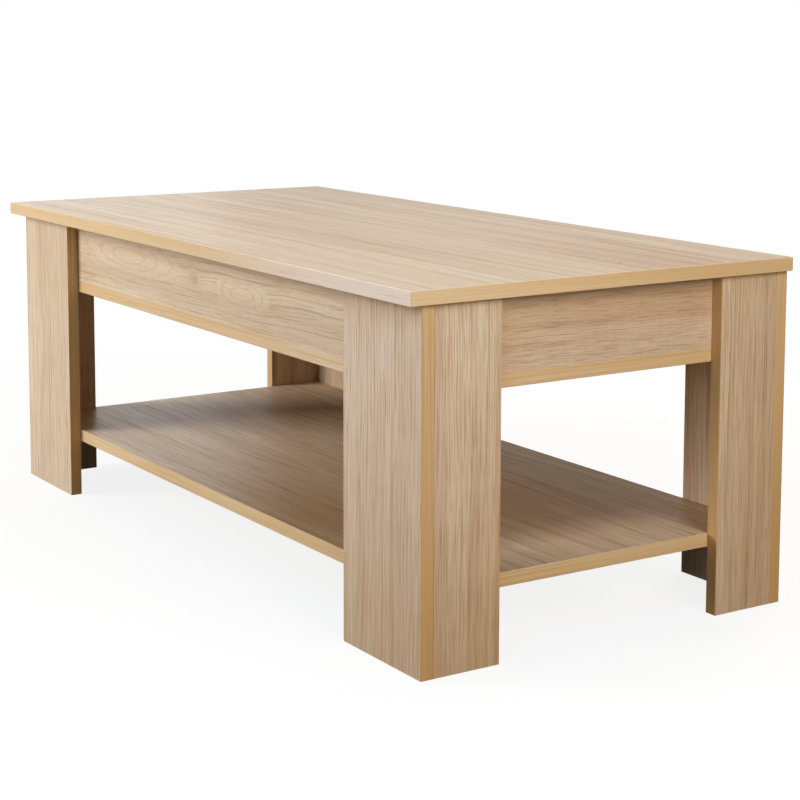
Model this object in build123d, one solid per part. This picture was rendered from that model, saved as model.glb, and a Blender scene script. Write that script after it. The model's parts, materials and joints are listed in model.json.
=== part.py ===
from build123d import *
from functools import lru_cache
import math
import os

# Lift top coffee table, in millimetres. X runs along the table, Y from its front to its back, Z up.
# The origin is on the floor, under the middle of the top. The top lifts up and towards the front.

# Boards
TOP_LENGTH = 1080.0
TOP_DEPTH = 525.0
TABLE_HEIGHT = 410.0
TOP_BOARD = 16.0
BOARD = 16.0
SIDE_OVERHANG = 9.0
FRONT_OVERHANG = 20.0
BACK_OVERHANG = 0.0
LEG_WIDE = 154.0
LEG_NARROW = 84.0
SHELF_HEIGHT = 94.0
COMPARTMENT_DEPTH = 84.0
EDGE_BAND = 1.0
EDGE_ROUND = 0.8
BAND_JOINT = 0.1

# Bumpers between the top and the frame
BUMPER_HEIGHT = 1.5
BUMPER_RADIUS = 5.0
BUMPER_END_INSET = 120.0

# Dowels, cam fittings and screws
HOLE_CLEARANCE = 0.1
HOLE_END_GAP = 0.5
DOWEL_RADIUS = 4.0
DOWEL_CHAMFER = 0.8
DOWEL_IN_EDGE = 20.0
DOWEL_WALL_LEFT = 6.0
LEG_DOWEL_COUNT = 3
LEG_DOWEL_END = 55.0
SHELF_FIX_WIDE = 30.0
SHELF_FIX_NARROW = 18.0
CAM_RADIUS = 7.5
CAM_WALL_LEFT = 3.5
CAM_REACH = 24.0
CAM_BOLT_WALL_LEFT = 6.0
CAM_THREAD_RADIUS = 3.0
CAM_SHANK_RADIUS = 2.2
CAM_HEAD_RADIUS = 3.2
CAM_HEAD_LENGTH = 4.0
APRON_FIX_SPREAD = 20.0
SCREW_RADIUS = 2.0
SCREW_HEAD_RADIUS = 4.0
SCREW_POINT = 3.0
SCREW_TIP_RADIUS = 0.5
CROSS_LENGTH = 4.4
CROSS_WIDTH = 0.9
CROSS_DEPTH = 1.2
LEG_SCREW_WALL_LEFT = 7.0
FLOOR_SCREW_IN_APRON = 24.0
SIDE_SCREW_COUNT = 4
END_SCREW_COUNT = 2
FLOOR_SCREW_END = 115.0

# Lift mechanism: two equal arms on each side make a parallelogram that keeps the top level
ARM_LENGTH = 200.0
ARM_SWING_ANGLE = 130.0
ARM_WIDTH = 22.0
ARM_THICKNESS = 3.0
ARM_EDGE_ROUND = 0.5
PIVOT_SPAN = 90.0
FRONT_PIVOT_DROP = 24.0
REAR_PIVOT_RISE = 18.5
REAR_PIVOT_INSET = 38.0
PIVOT_RADIUS = 4.0
PIVOT_CLEARANCE = 0.08
SIDE_PLAY = 0.1
RIVET_HEAD_RADIUS = 7.0
RIVET_HEAD = 2.0
RIVET_ROUND = 0.9
WASHER = 1.0
WASHER_RADIUS = 9.0
SPACER = 3.0
SPACER_RADIUS = 8.0
BRACKET = 2.5
BRACKET_FLANGE = 25.0
BRACKET_AHEAD = 36.0
BRACKET_BEHIND = 32.0
BRACKET_ABOVE = 18.0
BRACKET_CORNER = 8.0
BRACKET_SCREW_INSET = 14.0
BRACKET_SCREW_RISE = 11.0
BRACKET_SCREW_RADIUS = 1.8
BRACKET_SCREW_HEAD_RADIUS = 3.6
BRACKET_SCREW_WALL_LEFT = 4.5
TOP_FLANGE = 30.0
TOP_FLANGE_ENDS = 20.0
TOP_SCREW_COUNT = 3
STOP_RADIUS = 3.0
STOP_REACH = 25.0
STOP_CLEARANCE = 0.3

# Lift springs: close-wound tension springs, stretched while the top is down
WIRE = 2.0
COIL_RADIUS = 6.0
COIL_PAIR_COUNT = 15
HOOK_TURN_ANGLE = 60.0
HOOK_LOOP_ANGLE = 220.0
HOOK_REACH = 14.0
HOOK_STRAIGHT = 1.0
HOOK_CLEARANCE = 0.3
SPRING_SIDE_GAP = 1.0
SPRING_AHEAD = 108.0
POST_RADIUS = 3.0
POST_RIM_RADIUS = 4.5
POST_RIM = 1.5
EAR_REACH = 24.0
EAR_RADIUS = 6.5
LEAST_WIRE_GAP = 0.4
GAP_SAMPLE_COUNT = 8

# Heights
LID_UNDER = TABLE_HEIGHT - TOP_BOARD
CARCASS_TOP = LID_UNDER - BUMPER_HEIGHT
FLOOR_TOP = LID_UNDER - COMPARTMENT_DEPTH
FLOOR_UNDER = FLOOR_TOP - BOARD
SHELF_UNDER = SHELF_HEIGHT - BOARD
SHELF_MIDDLE = SHELF_HEIGHT - BOARD / 2
APRON_MIDDLE = (FLOOR_TOP + CARCASS_TOP) / 2

# Faces in plan: outside of the legs, outside of the apron box, inside of the apron box
LEG_X = TOP_LENGTH / 2 - SIDE_OVERHANG
LEG_FRONT = -TOP_DEPTH / 2 + FRONT_OVERHANG
LEG_BACK = TOP_DEPTH / 2 - BACK_OVERHANG
BOX_X = LEG_X - BOARD
BOX_FRONT = LEG_FRONT + BOARD
BOX_BACK = LEG_BACK - BOARD
INNER_X = BOX_X - BOARD
INNER_FRONT = BOX_FRONT + BOARD
INNER_BACK = BOX_BACK - BOARD
MIDDLE_Y = (BOX_FRONT + BOX_BACK) / 2

# Pivots as (y, z), with the top down and the arms level, pointing to the back
REAR_PIVOT = (INNER_BACK - REAR_PIVOT_INSET - ARM_LENGTH, FLOOR_TOP + REAR_PIVOT_RISE)
FRONT_PIVOT = (REAR_PIVOT[0] - PIVOT_SPAN, LID_UNDER - FRONT_PIVOT_DROP)
TOP_REAR_PIVOT = (REAR_PIVOT[0] + ARM_LENGTH, REAR_PIVOT[1])
TOP_FRONT_PIVOT = (FRONT_PIVOT[0] + ARM_LENGTH, FRONT_PIVOT[1])

# Layers of the right-hand mechanism in X, from the apron inwards
PLATE_X = INNER_X - BRACKET
ARM_OUTER_X = PLATE_X - WASHER - SIDE_PLAY
ARM_INNER_X = ARM_OUTER_X - ARM_THICKNESS
LOWER_HEAD_X = ARM_INNER_X - SIDE_PLAY - RIVET_HEAD
TOP_PLATE_OUTER_X = ARM_INNER_X - SIDE_PLAY - SPACER
TOP_PLATE_X = TOP_PLATE_OUTER_X - BRACKET
SPRING_X = LOWER_HEAD_X - SPRING_SIDE_GAP - COIL_RADIUS - WIRE / 2
POST_END_X = SPRING_X - WIRE / 2 - HOOK_CLEARANCE - POST_RIM

X, Y, Z = Vector(1, 0, 0), Vector(0, 1, 0), Vector(0, 0, 1)
FROM_BASE = (Align.CENTER, Align.CENTER, Align.MIN)
parts = {}


def add(node, *shapes):
    """Keep the solids of some shapes under a node's name."""
    for shape in shapes:
        parts.setdefault(node, []).extend(shape.solids())


def slab(low, high):
    """A box between two corners."""
    size = [b - a for a, b in zip(low, high)]
    middle = [(a + b) / 2 for a, b in zip(low, high)]
    return Pos(*middle) * Box(*size)


def rod(start, direction, radius, length):
    """A round bar from a point along a direction."""
    return Plane(origin=start, z_dir=direction) * Cylinder(radius, length, align=FROM_BASE)


def plate(outline, inner_x, thickness):
    """An outline in the YZ plane as a plate that stands across X."""
    return extrude(Pos(inner_x, 0, 0) * (Plane.YZ * outline), amount=thickness, dir=(1, 0, 0))


def in_plane(point, shape):
    """A flat shape moved to a (y, z) point of the YZ plane."""
    return Pos(point[0], point[1]) * shape


def at(x, point):
    """A point in space from an X and a (y, z) point."""
    return Vector(x, point[0], point[1])


def spread(low, high, count):
    """Evenly spaced values from low to high."""
    return [low + (high - low) * i / (count - 1) for i in range(count)]


# Boards: a core and the bands glued to those of its edges that show. The holes of each board are
# gathered from the fittings before the boards are made.
LOW, HIGH = "low", "high"
LEFT, RIGHT = (0, LOW), (0, HIGH)
FRONT, BACK = (1, LOW), (1, HIGH)
FOOT, UPPER = (2, LOW), (2, HIGH)
holes = {}


def drill(boards, cutters):
    for board in boards:
        holes.setdefault(board, []).extend(cutters)


def banded_board(node, low, high, banded):
    """A board between two corners. banded gives the node of each band by its edge, as (axis, side)."""
    whole = slab(low, high)
    corners = {LOW: low, HIGH: high}
    outer = [edge for edge in whole.edges()
             if any(abs(tuple(edge.center())[axis] - corners[side][axis]) < EDGE_BAND / 2
                    for axis, side in banded)]
    whole = fillet(outer, EDGE_ROUND)
    core = {LOW: list(low), HIGH: list(high)}
    free = {LOW: list(low), HIGH: list(high)}
    for (axis, side), band_node in banded.items():
        other, inward = (HIGH, 1) if side == LOW else (LOW, -1)
        inner_face = core[side][axis] + inward * EDGE_BAND
        strip = {LOW: list(free[LOW]), HIGH: list(free[HIGH])}
        strip[other][axis] = inner_face
        add(band_node, drilled(whole & slab(strip[LOW], strip[HIGH]), node))
        core[side][axis] = inner_face
        free[side][axis] = inner_face + inward * BAND_JOINT
    add(node, drilled(slab(core[LOW], core[HIGH]), node))


def drilled(solid, board):
    """A solid with the holes of a board taken out."""
    cutters = holes.get(board)
    return solid - cutters if cutters else solid


# Fittings: each call keeps the fitting and gives back the holes that it needs

def dowel(node, seat, into_edge):
    """A dowel across a joint face at seat, into a board's face on one side and an edge on the other."""
    in_face = BOARD - DOWEL_WALL_LEFT
    length = in_face + DOWEL_IN_EDGE
    start = seat - into_edge * in_face
    peg = rod(start, into_edge, DOWEL_RADIUS, length)
    add(node, chamfer(peg.edges().filter_by(GeomType.CIRCLE), DOWEL_CHAMFER))
    return [rod(start - into_edge * HOLE_END_GAP, into_edge, DOWEL_RADIUS + HOLE_CLEARANCE,
                length + 2 * HOLE_END_GAP)]


def cam_fitting(seat, into_edge, mouth_side):
    """A cam bolt screwed into one board's face at seat, and the cam lock that holds it in the other."""
    thread = BOARD - CAM_BOLT_WALL_LEFT
    bolt = rod(seat - into_edge * thread, into_edge, CAM_THREAD_RADIUS, thread)
    bolt += rod(seat, into_edge, CAM_SHANK_RADIUS, CAM_REACH)
    head_start = seat + into_edge * (CAM_REACH - CAM_HEAD_LENGTH / 2)
    bolt += rod(head_start, into_edge, CAM_HEAD_RADIUS, CAM_HEAD_LENGTH)
    add("cam_bolts", bolt)

    depth = BOARD - CAM_WALL_LEFT
    mouth = seat + into_edge * CAM_REACH + mouth_side * (BOARD / 2)
    lock = rod(mouth, -mouth_side, CAM_RADIUS, depth)
    way_in = rod(seat, into_edge, CAM_HEAD_RADIUS + HOLE_CLEARANCE, CAM_REACH + CAM_HEAD_LENGTH)
    slot = Plane(origin=mouth, x_dir=into_edge, z_dir=-mouth_side)
    cross = slot * Box(CAM_RADIUS, CROSS_WIDTH * 2, CROSS_DEPTH * 2)
    cross += slot * Box(CROSS_WIDTH * 2, CAM_RADIUS, CROSS_DEPTH * 2)
    add("cam_locks", lock - way_in - cross)

    return [
        rod(seat - into_edge * (thread + HOLE_END_GAP), into_edge, CAM_THREAD_RADIUS + HOLE_CLEARANCE,
            thread + HOLE_END_GAP),
        rod(seat, into_edge, CAM_HEAD_RADIUS + HOLE_CLEARANCE, CAM_REACH),
        rod(mouth, -mouth_side, CAM_RADIUS + HOLE_CLEARANCE, depth + HOLE_END_GAP),
    ]


@lru_cache(maxsize=None)
def screw_shapes(radius, head_radius, length):
    """A countersunk screw with a cross in its head, pointing up from the origin, and its hole."""
    head = head_radius - radius
    straight = length - SCREW_POINT
    body = Cylinder(radius, straight, align=FROM_BASE)
    body += Pos(0, 0, straight) * Cone(radius, SCREW_TIP_RADIUS, SCREW_POINT, align=FROM_BASE)
    body += Cone(head_radius, radius, head, align=FROM_BASE)
    body -= [Box(*sides, CROSS_DEPTH * 2)
             for sides in ((CROSS_LENGTH, CROSS_WIDTH), (CROSS_WIDTH, CROSS_LENGTH))]
    hole = Cylinder(radius + HOLE_CLEARANCE, length + HOLE_END_GAP, align=FROM_BASE)
    hole += Cone(head_radius + HOLE_CLEARANCE, radius + HOLE_CLEARANCE, head, align=FROM_BASE)
    return body, hole


def screw(node, mouth, direction, sizes):
    """A screw of the given sizes from a face at mouth along a direction."""
    body, hole = screw_shapes(*sizes)
    place = Plane(origin=mouth, z_dir=direction)
    add(node, place * body)
    return [place * hole]


def leg_corners():
    """The four corners: names of end and side, and the outward signs in X and Y."""
    for end, side_y in (("front", -1), ("back", 1)):
        for hand, side_x in (("left", -1), ("right", 1)):
            yield end, hand, side_x, side_y


def fit_legs():
    """Dowels, cam fittings and screws between the leg boards, the shelf and the aprons."""
    leg_screw = (SCREW_RADIUS, SCREW_HEAD_RADIUS, 2 * BOARD - LEG_SCREW_WALL_LEFT)
    for end, hand, side_x, side_y in leg_corners():
        wide = f"{end}_{hand}_leg_wide_board"
        narrow = f"{end}_{hand}_leg_narrow_board"
        box_y = BOX_FRONT if side_y < 0 else BOX_BACK
        inner_y = INNER_FRONT if side_y < 0 else INNER_BACK
        inward_x, inward_y = X * -side_x, Y * -side_y
        wide_middle = side_x * (LEG_X - LEG_WIDE / 2)
        narrow_middle = box_y - side_y * LEG_NARROW / 2

        for z in spread(LEG_DOWEL_END, CARCASS_TOP - LEG_DOWEL_END, LEG_DOWEL_COUNT):
            seat = Vector(side_x * (LEG_X - BOARD / 2), box_y, z)
            drill((wide, narrow), dowel("leg_dowels", seat, inward_y))

        outer_x = wide_middle + side_x * SHELF_FIX_WIDE
        inner_x = wide_middle - side_x * SHELF_FIX_WIDE
        peg_seat, bolt_seat = (Vector(x, box_y, SHELF_MIDDLE) for x in (outer_x, inner_x))
        drill((wide, "lower_shelf"), dowel("shelf_dowels", peg_seat, inward_y))
        drill((wide, "lower_shelf"), cam_fitting(bolt_seat, inward_y, -Z))
        for x in (outer_x, inner_x):
            mouth = Vector(x, inner_y, APRON_MIDDLE)
            drill((wide, f"{end}_apron"), screw("leg_screws", mouth, -inward_y, leg_screw))

        outer_y = narrow_middle + side_y * SHELF_FIX_NARROW
        inner_fix_y = narrow_middle - side_y * SHELF_FIX_NARROW
        peg_seat, bolt_seat = (Vector(side_x * BOX_X, y, SHELF_MIDDLE) for y in (outer_y, inner_fix_y))
        drill((narrow, "lower_shelf"), dowel("shelf_dowels", peg_seat, inward_x))
        drill((narrow, "lower_shelf"), cam_fitting(bolt_seat, inward_x, -Z))
        for y in (outer_y, inner_fix_y):
            mouth = Vector(side_x * INNER_X, y, APRON_MIDDLE)
            drill((narrow, f"{hand}_apron"), screw("leg_screws", mouth, -inward_x, leg_screw))


def fit_aprons():
    """Corner joints of the apron box, and the screws that hold the storage floor under it."""
    for end, hand, side_x, side_y in leg_corners():
        inner_y = INNER_FRONT if side_y < 0 else INNER_BACK
        inward_y = Y * -side_y
        seat = Vector(side_x * (BOX_X - BOARD / 2), inner_y, APRON_MIDDLE)
        corner = (f"{end}_apron", f"{hand}_apron")
        drill(corner, dowel("apron_dowels", seat + Z * APRON_FIX_SPREAD, inward_y))
        drill(corner, cam_fitting(seat - Z * APRON_FIX_SPREAD, inward_y, X * -side_x))

    floor_screw = (SCREW_RADIUS, SCREW_HEAD_RADIUS, BOARD + FLOOR_SCREW_IN_APRON)
    for end, y in (("front", BOX_FRONT + BOARD / 2), ("back", BOX_BACK - BOARD / 2)):
        for x in spread(-BOX_X + FLOOR_SCREW_END, BOX_X - FLOOR_SCREW_END, SIDE_SCREW_COUNT):
            mouth = Vector(x, y, FLOOR_UNDER)
            drill((f"{end}_apron", "compartment_floor"), screw("floor_screws", mouth, Z, floor_screw))
    for hand, side_x in (("left", -1), ("right", 1)):
        for y in spread(BOX_FRONT + FLOOR_SCREW_END, BOX_BACK - FLOOR_SCREW_END, END_SCREW_COUNT):
            mouth = Vector(side_x * (BOX_X - BOARD / 2), y, FLOOR_UNDER)
            drill((f"{hand}_apron", "compartment_floor"), screw("floor_screws", mouth, Z, floor_screw))


def make_boards():
    """All boards with their bands, drilled for the fittings."""
    def bands(node, *edges):
        return {edge: node for edge in edges}

    round_plan = (FRONT, BACK, LEFT, RIGHT)
    banded_board("top_panel", (-TOP_LENGTH / 2, -TOP_DEPTH / 2, LID_UNDER),
                 (TOP_LENGTH / 2, TOP_DEPTH / 2, TABLE_HEIGHT), bands("top_edge_bands", *round_plan))
    banded_board("compartment_floor", (-BOX_X, BOX_FRONT, FLOOR_UNDER),
                 (BOX_X, BOX_BACK, FLOOR_TOP), bands("floor_edge_bands", *round_plan))
    banded_board("lower_shelf", (-BOX_X, BOX_FRONT, SHELF_UNDER),
                 (BOX_X, BOX_BACK, SHELF_HEIGHT), bands("shelf_edge_bands", *round_plan))

    aprons = {
        "front_apron": ((-BOX_X, BOX_FRONT), (BOX_X, INNER_FRONT)),
        "back_apron": ((-BOX_X, INNER_BACK), (BOX_X, BOX_BACK)),
        "left_apron": ((-BOX_X, INNER_FRONT), (-INNER_X, INNER_BACK)),
        "right_apron": ((INNER_X, INNER_FRONT), (BOX_X, INNER_BACK)),
    }
    for node, (low, high) in aprons.items():
        banded_board(node, (*low, FLOOR_TOP), (*high, CARCASS_TOP), bands("apron_edge_bands", UPPER))

    for end, hand, side_x, side_y in leg_corners():
        leg_y, box_y = (LEG_FRONT, BOX_FRONT) if side_y < 0 else (LEG_BACK, BOX_BACK)
        wide_x = sorted((side_x * LEG_X, side_x * (LEG_X - LEG_WIDE)))
        wide_y = sorted((leg_y, box_y))
        banded = bands("leg_edge_bands", LEFT, RIGHT, UPPER) | bands("foot_edge_bands", FOOT)
        banded_board(f"{end}_{hand}_leg_wide_board", (wide_x[0], wide_y[0], 0),
                     (wide_x[1], wide_y[1], CARCASS_TOP), banded)
        narrow_x = sorted((side_x * LEG_X, side_x * BOX_X))
        narrow_y = sorted((box_y, box_y - side_y * LEG_NARROW))
        free_edge = BACK if side_y < 0 else FRONT
        banded = bands("leg_edge_bands", free_edge, UPPER) | bands("foot_edge_bands", FOOT)
        banded_board(f"{end}_{hand}_leg_narrow_board", (narrow_x[0], narrow_y[0], 0),
                     (narrow_x[1], narrow_y[1], CARCASS_TOP), banded)


def make_bumpers():
    """Soft dots on the aprons' upper edges, which the top rests on."""
    front_y, back_y = BOX_FRONT + BOARD / 2, BOX_BACK - BOARD / 2
    side_x = BOX_X - BOARD / 2
    end_x = BOX_X - BUMPER_END_INSET
    places = [(x, y) for x in (-end_x, end_x) for y in (front_y, back_y)]
    places += [(-side_x, MIDDLE_Y), (side_x, MIDDLE_Y)]
    for x, y in places:
        add("lid_bumpers", rod(Vector(x, y, CARCASS_TOP), Z, BUMPER_RADIUS, BUMPER_HEIGHT))


# Lift mechanism, made on the right and mirrored to the left

def both_hands(right_node, shape):
    """Keep a right-hand piece, and its mirror image under the left hand's name."""
    add(right_node, shape)
    add(right_node.replace("right", "left"), mirror(shape, Plane.YZ))


def pivot_hole(point, inner_x, thickness):
    return rod(at(inner_x, point), X, PIVOT_RADIUS + PIVOT_CLEARANCE, thickness)


def rivet_head(x, point):
    """A low round rivet head between x and x + RIVET_HEAD."""
    head = rod(at(x, point), X, RIVET_HEAD_RADIUS, RIVET_HEAD)
    return fillet(head.edges().filter_by(GeomType.CIRCLE), RIVET_ROUND)


def ring(point, inner_x, thickness, radius):
    """A washer or spacer round a pivot."""
    return rod(at(inner_x, point), X, radius, thickness) - pivot_hole(point, inner_x, thickness)


def soften(flat_plate):
    """A plate with the edges of its two large faces rounded."""
    faces = flat_plate.faces().filter_by(Axis.X)
    return fillet(faces.edges(), ARM_EDGE_ROUND)


def ear_point():
    """Where the spring pulls on the rear arm: as far behind its pivot at rest as ahead of it when open."""
    angle = math.radians(90 - ARM_SWING_ANGLE / 2)
    return (REAR_PIVOT[0] + EAR_REACH * math.cos(angle), REAR_PIVOT[1] + EAR_REACH * math.sin(angle))


def anchor_point():
    return (REAR_PIVOT[0] - SPRING_AHEAD, ear_point()[1])


def stop_point():
    """The pin that the front arm meets when the top is fully up."""
    angle = math.radians(ARM_SWING_ANGLE)
    along = (math.cos(angle), math.sin(angle))
    ahead = (-math.sin(angle), math.cos(angle))
    off = ARM_WIDTH / 2 + STOP_RADIUS + STOP_CLEARANCE
    return tuple(p + STOP_REACH * a + off * h for p, a, h in zip(FRONT_PIVOT, along, ahead))


def make_arms():
    for name, pivot in (("front", FRONT_PIVOT), ("rear", REAR_PIVOT)):
        middle = (pivot[0] + ARM_LENGTH / 2, pivot[1])
        outline = in_plane(middle, SlotCenterToCenter(ARM_LENGTH, ARM_WIDTH))
        if name == "rear":
            ear = in_plane(ear_point(), Circle(EAR_RADIUS))
            root = in_plane(pivot, Circle(ARM_WIDTH / 2))
            outline = outline + make_hull(ear.edges() + root.edges())
        arm = soften(plate(outline, ARM_INNER_X, ARM_THICKNESS))
        for end in (pivot, (pivot[0] + ARM_LENGTH, pivot[1])):
            arm -= pivot_hole(end, ARM_INNER_X, ARM_THICKNESS)
        if name == "rear":
            arm -= rod(at(ARM_INNER_X, ear_point()), X, POST_RADIUS + HOLE_CLEARANCE, ARM_THICKNESS)
        both_hands(f"right_{name}_arm", arm)


def make_base_brackets():
    """Angle plates screwed to the side aprons and the storage floor, with the lower pivots."""
    front_y = FRONT_PIVOT[0] - BRACKET_AHEAD
    back_y = REAR_PIVOT[0] + BRACKET_BEHIND
    top_z = FRONT_PIVOT[1] + BRACKET_ABOVE
    upright = slab((PLATE_X, front_y, FLOOR_TOP), (INNER_X, back_y, top_z))
    upright = fillet(upright.edges().filter_by(Axis.X).group_by(Axis.Z)[-1], BRACKET_CORNER)
    flange = slab((INNER_X - BRACKET_FLANGE, front_y, FLOOR_TOP), (INNER_X, back_y, FLOOR_TOP + BRACKET))
    flange = fillet(flange.edges().filter_by(Axis.Z).group_by(Axis.X)[0], BRACKET_CORNER)
    bracket = upright + flange

    sizes = (BRACKET_SCREW_RADIUS, BRACKET_SCREW_HEAD_RADIUS, BRACKET + BOARD - BRACKET_SCREW_WALL_LEFT)
    low_z = FLOOR_TOP + BRACKET + BRACKET_SCREW_RISE
    middle_y = (FRONT_PIVOT[0] + REAR_PIVOT[0]) / 2
    middle_z = (FRONT_PIVOT[1] + REAR_PIVOT[1]) / 2
    in_floor = (front_y + BRACKET_SCREW_INSET, back_y - BRACKET_SCREW_INSET)
    in_apron = ((in_floor[0], low_z), (middle_y, middle_z), (in_floor[1], FRONT_PIVOT[1]))
    for side_x, hand in ((1, "right"), (-1, "left")):
        screws = [(Vector(side_x * PLATE_X, y, z), X * side_x, f"{hand}_apron") for y, z in in_apron]
        flange_x = side_x * (INNER_X - BRACKET_FLANGE / 2 - BRACKET / 2)
        screws += [(Vector(flange_x, y, FLOOR_TOP + BRACKET), -Z, "compartment_floor") for y in in_floor]
        for mouth, direction, board in screws:
            hole = screw("base_bracket_screws", mouth, direction, sizes)
            drill((board,), hole)
            if side_x > 0:
                bracket -= hole[0]

    for point in (FRONT_PIVOT, REAR_PIVOT):
        bracket -= pivot_hole(point, PLATE_X, BRACKET)
    for point, radius in ((stop_point(), STOP_RADIUS), (anchor_point(), POST_RADIUS)):
        bracket -= rod(at(PLATE_X, point), X, radius + HOLE_CLEARANCE, BRACKET)
    both_hands("right_base_bracket", bracket)


def make_top_brackets():
    """Angle plates screwed under the top, with the upper pivots."""
    radius = ARM_WIDTH / 2
    front_y = TOP_FRONT_PIVOT[0] - TOP_FLANGE_ENDS
    back_y = TOP_REAR_PIVOT[0] + TOP_FLANGE_ENDS
    rounds = [in_plane(point, Circle(radius)) for point in (TOP_FRONT_PIVOT, TOP_REAR_PIVOT)]
    strip_middle = ((front_y + back_y) / 2, LID_UNDER - BRACKET / 2)
    strip = in_plane(strip_middle, Rectangle(back_y - front_y, BRACKET))
    outline = make_hull(rounds[0].edges() + rounds[1].edges() + strip.edges())
    bracket = plate(outline, TOP_PLATE_X, BRACKET)
    flange_x = TOP_PLATE_OUTER_X - TOP_FLANGE
    flange = slab((flange_x, front_y, LID_UNDER - BRACKET), (TOP_PLATE_OUTER_X, back_y, LID_UNDER))
    bracket += fillet(flange.edges().filter_by(Axis.Z).group_by(Axis.X)[0], BRACKET_CORNER)

    sizes = (BRACKET_SCREW_RADIUS, BRACKET_SCREW_HEAD_RADIUS, BRACKET + TOP_BOARD - BRACKET_SCREW_WALL_LEFT)
    screw_x = flange_x + (TOP_FLANGE - BRACKET) / 2
    for side_x in (1, -1):
        for y in spread(front_y + TOP_FLANGE_ENDS, back_y - TOP_FLANGE_ENDS, TOP_SCREW_COUNT):
            mouth = Vector(side_x * screw_x, y, LID_UNDER - BRACKET)
            hole = screw("top_bracket_screws", mouth, Z, sizes)
            drill(("top_panel",), hole)
            if side_x > 0:
                bracket -= hole[0]
    for point in (TOP_FRONT_PIVOT, TOP_REAR_PIVOT):
        bracket -= pivot_hole(point, TOP_PLATE_X, BRACKET)
    both_hands("right_top_bracket", bracket)


def make_pivots():
    """Rivets, washers and spacers of the eight pivots, and the stop pins."""
    def keep_both(node, shape):
        add(node, shape, mirror(shape, Plane.YZ))

    for point in (FRONT_PIVOT, REAR_PIVOT):
        shank_x = LOWER_HEAD_X + RIVET_HEAD / 2
        shank = rod(at(shank_x, point), X, PIVOT_RADIUS, INNER_X - shank_x)
        keep_both("lower_pivot_rivets", shank + rivet_head(LOWER_HEAD_X, point))
        keep_both("lower_washers", ring(point, PLATE_X - WASHER, WASHER, WASHER_RADIUS))
    for point in (TOP_FRONT_PIVOT, TOP_REAR_PIVOT):
        inner_head_x = TOP_PLATE_X - RIVET_HEAD
        outer_head_x = ARM_OUTER_X + SIDE_PLAY
        rivet = rod(at(inner_head_x + RIVET_HEAD / 2, point), X, PIVOT_RADIUS, outer_head_x - inner_head_x)
        rivet += rivet_head(inner_head_x, point)
        rivet += rivet_head(outer_head_x, point)
        keep_both("upper_pivot_rivets", rivet)
        keep_both("upper_spacers", ring(point, TOP_PLATE_OUTER_X, SPACER, SPACER_RADIUS))
    keep_both("stop_pins", rod(at(ARM_INNER_X, stop_point()), X, STOP_RADIUS, INNER_X - ARM_INNER_X))


def spring_post(point, outer_x):
    """A round post with a rim that keeps the spring's hook on it."""
    post = rod(at(POST_END_X, point), X, POST_RADIUS, outer_x - POST_END_X)
    return post + rod(at(POST_END_X, point), X, POST_RIM_RADIUS, POST_RIM)


# Springs: the wire's centre line is a chain of arcs, each given by its start, middle and end

def arc_from(start, tangent, end):
    """The arc that leaves start along tangent and ends at end."""
    chord = end - start
    way = chord.normalized()
    half_turn_cosine = math.sqrt((1 + way.dot(tangent)) / 2)
    middle = start + (way + tangent).normalized() * (chord.length / 2 / half_turn_cosine)
    return (start, middle, end)


def biarc(start, leaving, end, arriving):
    """Two arcs that leave start and arrive at end along the given directions."""
    gap = end - start
    both = leaving + arriving
    turn = 2 * (1 - leaving.dot(arriving))
    reach = (-gap.dot(both) + math.sqrt(gap.dot(both) ** 2 + turn * gap.dot(gap))) / turn
    knot = (start + end + (leaving - arriving) * reach) / 2
    along = ((end - arriving * reach) - (start + leaving * reach)).normalized()
    return [arc_from(start, leaving, knot), arc_from(knot, along, end)]


def spring_line(front, back):
    """Centre line of a spring between two posts, as lines and arcs, front hook first."""
    length = back[0] - front[0]
    centre = at(SPRING_X, ((front[0] + back[0]) / 2, front[1]))
    coil = length - 2 * HOOK_REACH
    turn = 2 * math.pi * (2 * COIL_PAIR_COUNT - HOOK_TURN_ANGLE / 180)

    def on_coil(share):
        angle = turn * share
        return Vector(COIL_RADIUS * math.sin(angle), coil * share, COIL_RADIUS * math.cos(angle))

    def coil_way(share):
        angle = turn * share
        around = COIL_RADIUS * turn
        return Vector(around * math.cos(angle), coil, -around * math.sin(angle)).normalized()

    loop_inner = COIL_RADIUS - WIRE / 2
    loop_y = -length / 2 + loop_inner - POST_RADIUS - HOOK_CLEARANCE

    def on_loop(degrees):
        angle = math.radians(degrees)
        return Vector(0, loop_y + COIL_RADIUS * math.cos(angle), COIL_RADIUS * math.sin(angle))

    top = 90.0
    loop_start = top + HOOK_LOOP_ANGLE
    start_way = Vector(0, math.sin(math.radians(loop_start)), -math.cos(math.radians(loop_start)))
    bend_start = on_loop(top) + Y * HOOK_STRAIGHT
    hook = [(on_loop(loop_start) - start_way * WIRE, on_loop(loop_start))]
    loop = [on_loop(top + HOOK_LOOP_ANGLE * quarters / 4) for quarters in (4, 3, 2, 1, 0)]
    hook += [tuple(loop[:3]), tuple(loop[2:])]
    hook.append((on_loop(top), bend_start))
    hook += biarc(bend_start, Y, on_coil(-0.5), coil_way(-0.5))

    halves = 4 * COIL_PAIR_COUNT
    shares = [i / halves - 0.5 for i in range(halves + 1)]
    line = list(hook)
    for a, b in zip(shares, shares[1:]):
        line += biarc(on_coil(a), coil_way(a), on_coil(b), coil_way(b))
    line += [tuple(Vector(-p.X, -p.Y, p.Z) for p in reversed(piece)) for piece in reversed(hook)]
    return [tuple(centre + p for p in piece) for piece in line]


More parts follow.
